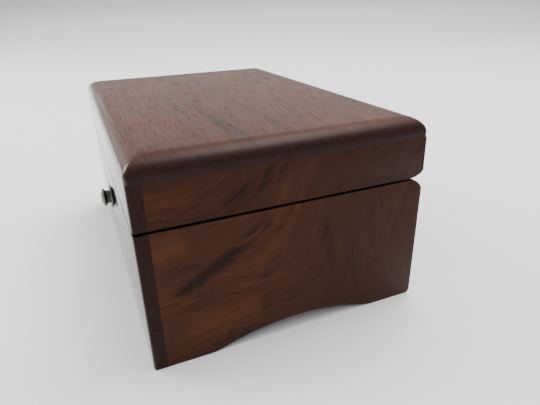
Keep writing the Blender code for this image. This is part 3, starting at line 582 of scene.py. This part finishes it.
def slotted(node, outward, turn, slot):
    """A screw from its CAD shape, with a driver slot (width, depth) sunk across the flat of its head."""
    width, depth = slot
    shape = merged_copy(node)
    outward = Vector(outward)
    top = max(vert.co.dot(outward) for vert in shape.verts)

    def on_head(face):
        return face.normal.dot(outward) > 0.99 and face.calc_center_median().dot(outward) > top - 0.02 * MM

    middle = next(face for face in shape.faces if on_head(face)).calc_center_median()
    across = Matrix.Rotation(turn, 3, outward) @ outward.orthogonal().normalized()
    for side in (-1, 1):
        bmesh.ops.bisect_plane(shape, geom=[*shape.verts, *shape.edges, *shape.faces], dist=CUT,
                               plane_co=middle + across * side * width / 2, plane_no=across)
    strip = [face for face in shape.faces if on_head(face)
             and abs((face.calc_center_median() - middle).dot(across)) < width / 4]
    grown = bmesh.ops.extrude_face_region(shape, geom=strip)["geom"]
    bmesh.ops.delete(shape, geom=strip, context="FACES_ONLY")
    bmesh.ops.translate(shape, verts=[part for part in grown if isinstance(part, bmesh.types.BMVert)],
                        vec=-outward * depth)
    return add_piece(node + "_slotted", shape, slot_of_node(node), body_of_node(node), [node])


def covered(node, finish, rounding):
    """A board wrapped in cloth: its CAD shape with the edges the cloth folds over."""
    shape = soften(merged_copy(node), rounding, 4)
    return add_piece(node + "_covered", shape, finish, body_of_node(node), [node])


def swell(piece, most, glued=None, voxel=None):
    """Fills a closed cloth shape by simulation. No point moves further than most, and glued points stay."""
    if voxel:
        remesh = piece.modifiers.new("even_cloth", "REMESH")
        remesh.mode = "VOXEL"
        remesh.voxel_size = voxel
        apply_modifiers(piece)
    before = [vert.co.copy() for vert in piece.data.vertices]
    cloth = piece.modifiers.new("stuffing", "CLOTH")
    cloth.settings.quality = 5
    cloth.settings.mass = 0.004
    cloth.settings.tension_stiffness = 12.0
    cloth.settings.compression_stiffness = 12.0
    cloth.settings.bending_stiffness = 0.4
    cloth.settings.use_pressure = True
    cloth.settings.uniform_pressure_force = STUFFING_PRESSURE
    cloth.settings.effector_weights.gravity = 0.0
    cloth.point_cache.frame_end = STUFFING_FRAMES
    if glued:
        group = piece.vertex_groups.new(name="glued")
        group.add([index for index, co in enumerate(before) if glued(co)], 1.0, "REPLACE")
        cloth.settings.vertex_group_mass = "glued"
    for step in range(1, STUFFING_FRAMES + 1):
        bpy.context.scene.frame_set(step)
    apply_modifiers(piece)
    bpy.context.scene.frame_set(1)
    furthest = max((vert.co - old).length for vert, old in zip(piece.data.vertices, before))
    share = min(1.0, most / max(furthest, 1e-9))
    for vert, old in zip(piece.data.vertices, before):
        vert.co = old + (vert.co - old) * share


def apply_modifiers(piece):
    """Keeps what the piece's modifiers show now as its own mesh."""
    graph = bpy.context.evaluated_depsgraph_get()
    shown = bpy.data.meshes.new_from_object(piece.evaluated_get(graph), depsgraph=graph)
    old = piece.data
    piece.modifiers.clear()
    piece.data = shown
    shown.name = old.name
    bpy.data.meshes.remove(old)


def smoothed(piece):
    finer = piece.modifiers.new("finer", "SUBSURF")
    finer.levels = finer.render_levels = 1
    apply_modifiers(piece)
    piece.data.shade_smooth()


def flat_pad(node, crown, rise, finish):
    """A thin pad glued down on one face. rise is +1 where the soft face looks up, -1 where it looks down."""
    low, high = (Vector(corner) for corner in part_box(node))
    middle, size = (low + high) / 2, high - low
    glued_z = low.z if rise > 0 else high.z
    shape = bmesh.new()
    scale = Matrix.Diagonal((size.x - PAD_MARGIN, size.y - PAD_MARGIN, 1.0, 1.0))
    bmesh.ops.create_grid(shape, x_segments=int(size.x / PAD_CELL), y_segments=int(size.y / PAD_CELL), size=0.5,
                          matrix=Matrix.Translation((middle.x, middle.y, glued_z)) @ scale)
    thick = size.z - crown
    grown = bmesh.ops.extrude_face_region(shape, geom=shape.faces[:], use_keep_orig=True)["geom"]
    face_up = [part for part in grown if isinstance(part, bmesh.types.BMVert)]
    bmesh.ops.translate(shape, verts=face_up, vec=(0, 0, rise * thick))
    bmesh.ops.recalc_face_normals(shape, faces=shape.faces)
    rims = [edge for edge in shape.edges if len(edge.link_faces) == 2 and edge.calc_face_angle(0) > 1.0]
    bmesh.ops.bevel(shape, geom=rims, offset=0.3 * thick, segments=2, profile=0.5, affect="EDGES",
                    material=-1)
    piece = add_piece(node + "_stuffed", shape, finish, body_of_node(node), [node],
                      sharp=SMOOTH_ALL)
    swell(piece, crown, glued=lambda co: abs(co.z - glued_z) < 0.4 * thick)
    smoothed(piece)


def piping(piece, name, at_x, thickness, finish):
    """A cord of cloth sewn round a cushion where a plane across X cuts it."""
    shape = bmesh.new()
    shape.from_mesh(piece.data)
    cut = bmesh.ops.bisect_plane(shape, geom=[*shape.verts, *shape.edges, *shape.faces], dist=CUT,
                                 plane_co=(at_x, 0, 0), plane_no=(1, 0, 0))["geom_cut"]
    edges = [part for part in cut if isinstance(part, bmesh.types.BMEdge)]
    around = {}
    for edge in edges:
        for vert in edge.verts:
            around.setdefault(vert, []).append(edge.other_vert(vert))
    start = max(around, key=lambda vert: len(around[vert]) * 10 + vert.co.z)
    loop, previous, here = [start.co.copy()], None, start
    while True:
        ahead = [vert for vert in around[here] if vert is not previous]
        previous, here = here, ahead[0]
        if here is start:
            break
        loop.append(here.co.copy())
    shape.free()
    line = bpy.data.curves.new(name, "CURVE")
    line.dimensions = "3D"
    line.bevel_depth = thickness / 2
    line.bevel_resolution = 5
    line.resolution_u = 2
    spline = line.splines.new("NURBS")
    spline.points.add(len(loop) - 1)
    for point, co in zip(spline.points, loop):
        point.co = (*co, 1.0)
    spline.use_cyclic_u = True
    path = bpy.data.objects.new(name, line)
    bpy.context.scene.collection.objects.link(path)
    graph = bpy.context.evaluated_depsgraph_get()
    mesh = bpy.data.meshes.new_from_object(path.evaluated_get(graph), depsgraph=graph)
    bpy.data.objects.remove(path)
    cord = bmesh.new()
    cord.from_mesh(mesh)
    bpy.data.meshes.remove(mesh)
    return add_piece(name, cord, finish, "base", sharp=SMOOTH_ALL)


# ---------------------------------------------------------------- operators

class WATCHBOX_OT_stage(bpy.types.Operator):
    """Lay the seamless floor, hang the soft lights and set the camera"""
    bl_idname = "watchbox.stage"
    bl_label = "Studio"

    def execute(self, context):
        studio = settings().studio
        self.floor(studio)
        self.lights(studio)
        self.camera(studio)
        return {"FINISHED"}

    def floor(self, studio):
        """A sheet of paper that runs level under the case and curves up at the back."""
        near, reach, width, bend, rise = 6.0, 0.9, 6.0, 1.6, 0.42
        steps = 16
        outline = [(near, 0.0)]
        outline += [(-reach - bend * step / steps, rise * (step / steps) ** 2) for step in range(steps + 1)]
        shape = bmesh.new()
        rows = []
        for side in (-width, width):
            rows.append([shape.verts.new((x, side, z)) for x, z in outline])
        for index in range(len(outline) - 1):
            shape.faces.new((rows[0][index + 1], rows[0][index], rows[1][index], rows[1][index + 1]))
        turn = Matrix.Rotation(studio.turn[0] + math.pi / 2, 4, "Z").inverted()
        bmesh.ops.transform(shape, matrix=turn, verts=shape.verts)
        mesh = bpy.data.meshes.new("floor")
        shape.to_mesh(mesh)
        shape.free()
        mesh.shade_smooth()
        g = Graph("paper")
        place = g.place()
        grain = g.noise(g.stretch(place, (600.0, 600.0, 600.0)), 1.0, 2.0)
        height = g.parts(place)[2]
        # Painted shade: the paper turns darker up the curve at the back, where the backdrop falls into shade.
        # The grain adds a faint real mottling.
        shade = grain * 0.05 + height.step(0.0, 0.3) * 0.9
        tone = g.mix(shade, studio.floor, Vector(studio.floor) * 0.84)
        mesh.materials.append(g.finish(Base_Color=tone, Roughness=0.7, Specular_IOR_Level=0.2))
        floor = bpy.data.objects.new("floor", mesh)
        bpy.context.scene.collection.objects.link(floor)
        floor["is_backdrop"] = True

    def lights(self, studio):
        world = bpy.data.worlds.new("soft_room")
        world.use_nodes = True
        sky = world.node_tree.nodes["Background"]
        sky.inputs["Color"].default_value = (0.98, 0.99, 1.0, 1.0)
        sky.inputs["Strength"].default_value = studio.fill
        bpy.context.scene.world = world
        overhead = (-0.18, 0.46, 1.2)
        self.panel("key", overhead, 1.0, 1.0, studio.key).visible_glossy = False
        self.panel("key_sheen", overhead, 0.55, 0.42, studio.key).visible_diffuse = False
        self.panel("near_fill", (0.80, -0.45, 1.30), 1.2, 1.2, studio.near).visible_glossy = False
        self.panel("back", (-1.40, 0.57, 0.50), 2.0, 0.55, studio.back)
        self.panel("left", (-0.75, -0.85, 0.75), 0.8, 0.8, studio.left)

    def panel(self, name, place, width, height, power):
        lamp = bpy.data.lights.new(name, "AREA")
        lamp.shape = "RECTANGLE"
        lamp.size = width
        lamp.size_y = height
        lamp.energy = power
        lamp_object = bpy.data.objects.new(name, lamp)
        lamp_object.location = place
        aim = Vector((0, 0, 0.03)) - Vector(place)
        lamp_object.rotation_euler = aim.to_track_quat("-Z", "Y").to_euler()
        bpy.context.scene.collection.objects.link(lamp_object)
        return lamp_object

    def camera(self, studio):
        yaw, pitch, roll = studio.turn
        ahead = Vector((math.sin(yaw) * math.cos(pitch), math.cos(yaw) * math.cos(pitch), -math.sin(pitch)))
        right = ahead.cross(Vector((0, 0, 1))).normalized()
        up = right.cross(ahead)
        turned_right = right * math.cos(roll) + up * math.sin(roll)
        turned_up = up * math.cos(roll) - right * math.sin(roll)
        lens = bpy.data.cameras.new("camera")
        lens.lens = studio.lens
        lens.sensor_width = 36.0
        lens.clip_start = 0.01
        camera = bpy.data.objects.new("camera", lens)
        axes = Matrix((turned_right, turned_up, -ahead)).transposed().to_4x4()
        camera.matrix_world = Matrix.Translation(CASE_MIDDLE + Vector(studio.eye)) @ axes
        bpy.context.scene.collection.objects.link(camera)
        bpy.context.scene.camera = camera


def joint_faces():
    """Where the boards meet: (axis, CAD face, neighbour's face), closed up so that no daylight shows."""
    front_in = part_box("base_front_board")[1][1]
    side_in, side_front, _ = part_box("base_right_board")[0]
    rear_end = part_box("base_rear_board")[1][0]
    rise = (2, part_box("lid_front_rail")[1][2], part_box("lid_top_board")[0][2])
    return front_in, (1, side_front, front_in), [(0, rear_end, side_in), (0, -rear_end, -side_in)], rise


class WATCHBOX_OT_base_boards(bpy.types.Operator):
    """Model the boards of the case and its floor"""
    bl_idname = "watchbox.base_boards"
    bl_label = "Case boards"

    def execute(self, context):
        front_in, meet_front, meet_sides, _ = joint_faces()
        board("base_front_board", "walnut_front", [], [(1, front_in)])
        for side in ("left", "right"):
            board(f"base_{side}_board", "walnut_side", [meet_front])
        board("base_rear_board", "walnut_front", meet_sides)
        board("base_bottom_panel", "inner_wood", [])
        return {"FINISHED"}


class WATCHBOX_OT_lid_rails(bpy.types.Operator):
    """Model the four rails of the lid"""
    bl_idname = "watchbox.lid_rails"
    bl_label = "Lid rails"

    def execute(self, context):
        front_in, meet_front, meet_sides, rise = joint_faces()
        board("lid_front_rail", "walnut_front", [rise], [(1, front_in)])
        for side in ("left", "right"):
            board(f"lid_{side}_rail", "walnut_side", [meet_front, rise])
        board("lid_rear_rail", "walnut_front", meet_sides + [rise])
        return {"FINISHED"}


class WATCHBOX_OT_lid_top(bpy.types.Operator):
    """Shape the rounded-over top board of the lid"""
    bl_idname = "watchbox.lid_top"
    bl_label = "Lid top"

    def execute(self, context):
        add_piece("lid_top_wood", lid_top(), "walnut_top", "lid", ["lid_top_board"])
        return {"FINISHED"}


class WATCHBOX_OT_button(bpy.types.Operator):
    """Turn the domed push button and its collar"""
    bl_idname = "watchbox.button"
    bl_label = "Push button"

    def execute(self, context):
        low, high = (Vector(corner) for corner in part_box("button_head"))
        radius, neck = (high.x - low.x) / 2, BUTTON_NECK
        apex, end = low.y - FRONT_Y, high.y - FRONT_Y
        rim = apex + DOME_CROWN
        profile = []
        for step in range(DOME_STEPS + 1):
            out = math.sin(math.pi / 2 * step / DOME_STEPS)
            profile.append((rim - DOME_CROWN * (1 - out ** 2) ** 0.8, radius * out))
        profile += [(rim + 0.14 * MM, 0.995 * radius), (rim + 0.3 * MM, 0.95 * radius)]
        profile += [(rim + DOME_BACK * 0.7, neck + 0.25 * MM), (rim + DOME_BACK, neck), (end, neck), (end, 0.0)]
        head = soften(lathed(profile, BUTTON_AXIS), 0.08 * MM, 2)
        add_piece("button_head_turned", head, "dark_bronze", "push_button", ["button_head"])
        face, tail = COLLAR_LOW.y - FRONT_Y, COLLAR_HIGH.y - FRONT_Y
        bore, tube, seat = neck + 0.3 * MM, neck + 1.0 * MM, face + 0.95 * MM
        profile = [(face, bore), (face, COLLAR_RADIUS - 0.4 * MM), (face + 0.4 * MM, COLLAR_RADIUS),
                   (seat, COLLAR_RADIUS), (seat, tube), (tail, tube), (tail, bore)]
        collar = soften(lathed(profile, BUTTON_AXIS, closed=True), 0.1 * MM, 2)
        add_piece("button_collar_turned", collar, "dark_bronze", "base", ["button_collar"])
        for node in ("button_stem", "collar_nut"):
            refinish(node)
        return {"FINISHED"}


def refinish(node):
    """Shows a CAD node as it is, in the finish of its slot."""
    cad = frame["nodes"][node]
    cad.data.materials.clear()
    cad.data.materials.append(finishes()[slot_of_node(node)])


class WATCHBOX_OT_hinges(bpy.types.Operator):
    """Finish the hinges and slot their screws"""
    bl_idname = "watchbox.hinges"
    bl_label = "Hinges"

    def execute(self, context):
        for index, side in enumerate(("left", "right")):
            for part in ("base_leaf", "lid_leaf", "pin"):
                refinish(f"hinge_{side}_{part}")
            for number in (1, 2):
                turn = 0.5 + index * 1.3 + number * 0.8
                slotted(f"hinge_{side}_base_screw_{number}", (0, 0, 1), turn, HINGE_SLOT)
                slotted(f"hinge_{side}_lid_screw_{number}", (0, 0, -1), turn + 0.6, HINGE_SLOT)
        return {"FINISHED"}


class WATCHBOX_OT_catch(bpy.types.Operator):
    """Finish the bolt, its case, spring and keeper, and slot their screws"""
    bl_idname = "watchbox.catch"
    bl_label = "Catch"

    def execute(self, context):
        for node in ("catch_bolt", "catch_case", "lid_keeper"):
            refinish(node)
        low, high = (Vector(corner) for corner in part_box("catch_spring"))
        coil = add_piece("catch_spring_wound", merged_copy("catch_spring"), "spring_steel", "base",
                         ["catch_spring"])
        joints = frame["record"]["behaviour"]["joints"]
        travel = next(joint["range_m"][1] for joint in joints if joint["name"] == "button_press")
        1.0 - travel / (high.y - low.y)
        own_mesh(coil)
        for turn, node in enumerate(("case_screw_1", "case_screw_2", "keeper_screw_1", "keeper_screw_2")):
            slotted(node, (0, 1, 0), 0.4 + turn * 0.9, CATCH_SLOT)
        return {"FINISHED"}


class WATCHBOX_OT_linings(bpy.types.Operator):
    """Wrap the wall linings in suede"""
    bl_idname = "watchbox.linings"
    bl_label = "Wall linings"

    def execute(self, context):
        for half in ("base", "lid"):
            for place in ("left", "right", "front_left", "front_right", "rear"):
                covered(f"{half}_lining_{place}", "lining_suede", LINING_FOLD)
        return {"FINISHED"}


class WATCHBOX_OT_deck(bpy.types.Operator):
    """Wrap the deck and its well, and set the strips that carry it"""
    bl_idname = "watchbox.deck"
    bl_label = "Deck and well"

    def execute(self, context):
        covered("insert_deck", "lining_suede", DECK_FOLD)
        covered("well_sleeve", "lining_suede", LINING_FOLD)
        for side in ("left", "right"):
            board(f"deck_rest_{side}", "inner_wood", [])
        flat_pad("well_floor_pad", 0.5 * MM, 1, "lining_suede")
        return {"FINISHED"}


class WATCHBOX_OT_cushion(bpy.types.Operator):
    """Stuff the watch cushion and sew its piping"""
    bl_idname = "watchbox.cushion"
    bl_label = "Watch cushion"

    def execute(self, context):
        low, high = (Vector(corner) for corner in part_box("watch_cushion"))
        middle, size = (low + high) / 2, high - low
        shape = bmesh.new()
        scale = (*(side - 2 * CUSHION_SLACK for side in size), 1.0)
        bmesh.ops.create_cube(shape, size=1.0, matrix=Matrix.Translation(middle) @ Matrix.Diagonal(scale))
        bmesh.ops.bevel(shape, geom=shape.edges[:], offset=CUSHION_EDGE, segments=4, profile=0.5,
                        affect="EDGES", material=-1)
        piece = add_piece("watch_cushion_stuffed", shape, "cushion_suede", "base", ["watch_cushion"],
                          sharp=SMOOTH_ALL)
        swell(piece, CUSHION_SLACK, voxel=CUSHION_CELL)
        smoothed(piece)
        seam = size.x / 2 - SEAM_INSET
        for vert in piece.data.vertices:
            pinch = math.exp(-((abs(vert.co.x) - seam) / SEAM_WIDTH) ** 2)
            inward = Vector((0, middle.y - vert.co.y, middle.z - vert.co.z)).normalized()
            vert.co += inward * pinch * SEAM_DEPTH
            vert.co.z = max(vert.co.z, low.z)
        for name, at_x in (("cushion_piping_left", -seam), ("cushion_piping_right", seam)):
            piping(piece, name, at_x, PIPING, "lining_suede")
        return {"FINISHED"}


class WATCHBOX_OT_lid_pad(bpy.types.Operator):
    """Stuff the pad under the lid"""
    bl_idname = "watchbox.lid_pad"
    bl_label = "Lid pad"

    def execute(self, context):
        flat_pad("lid_pad", 1.4 * MM, -1, "cushion_suede")
        return {"FINISHED"}


class WATCHBOX_OT_baize(bpy.types.Operator):
    """Glue the felt under the case"""
    bl_idname = "watchbox.baize"
    bl_label = "Baize"

    def execute(self, context):
        covered("base_baize", "baize", BAIZE_FOLD)
        return {"FINISHED"}


class WATCHBOX_PT_panel(bpy.types.Panel):
    """Buttons for every group of pieces"""
    bl_label = "Watch box"
    bl_idname = "WATCHBOX_PT_panel"
    bl_space_type = "VIEW_3D"
    bl_region_type = "UI"
    bl_category = "Watch box"

    def draw(self, context):
        for operator in OPERATORS:
            self.layout.operator(operator.bl_idname)
        for group in (settings().wood, settings().metal, settings().cloth, settings().studio):
            box = self.layout.box()
            for key in group.bl_rna.properties.keys():
                if key not in ("rna_type", "name"):
                    box.prop(group, key)


OPERATORS = (WATCHBOX_OT_stage, WATCHBOX_OT_base_boards, WATCHBOX_OT_lid_rails, WATCHBOX_OT_lid_top,
             WATCHBOX_OT_button, WATCHBOX_OT_hinges, WATCHBOX_OT_catch, WATCHBOX_OT_linings, WATCHBOX_OT_deck,
             WATCHBOX_OT_cushion, WATCHBOX_OT_lid_pad, WATCHBOX_OT_baize)
CLASSES = (WatchBoxWood, WatchBoxMetal, WatchBoxCloth, WatchBoxStudio, WatchBoxSettings, *OPERATORS,
           WATCHBOX_PT_panel)


def register():
    for made in CLASSES:
        bpy.utils.register_class(made)
    bpy.types.Scene.watch_box = PointerProperty(type=WatchBoxSettings)


def unregister():
    del bpy.types.Scene.watch_box
    for made in reversed(CLASSES):
        bpy.utils.unregister_class(made)


def main():
    register()
    for operator in OPERATORS:
        group, name = operator.bl_idname.split(".")
        getattr(getattr(bpy.ops, group), name)()


if __name__ == "__main__":
    main()
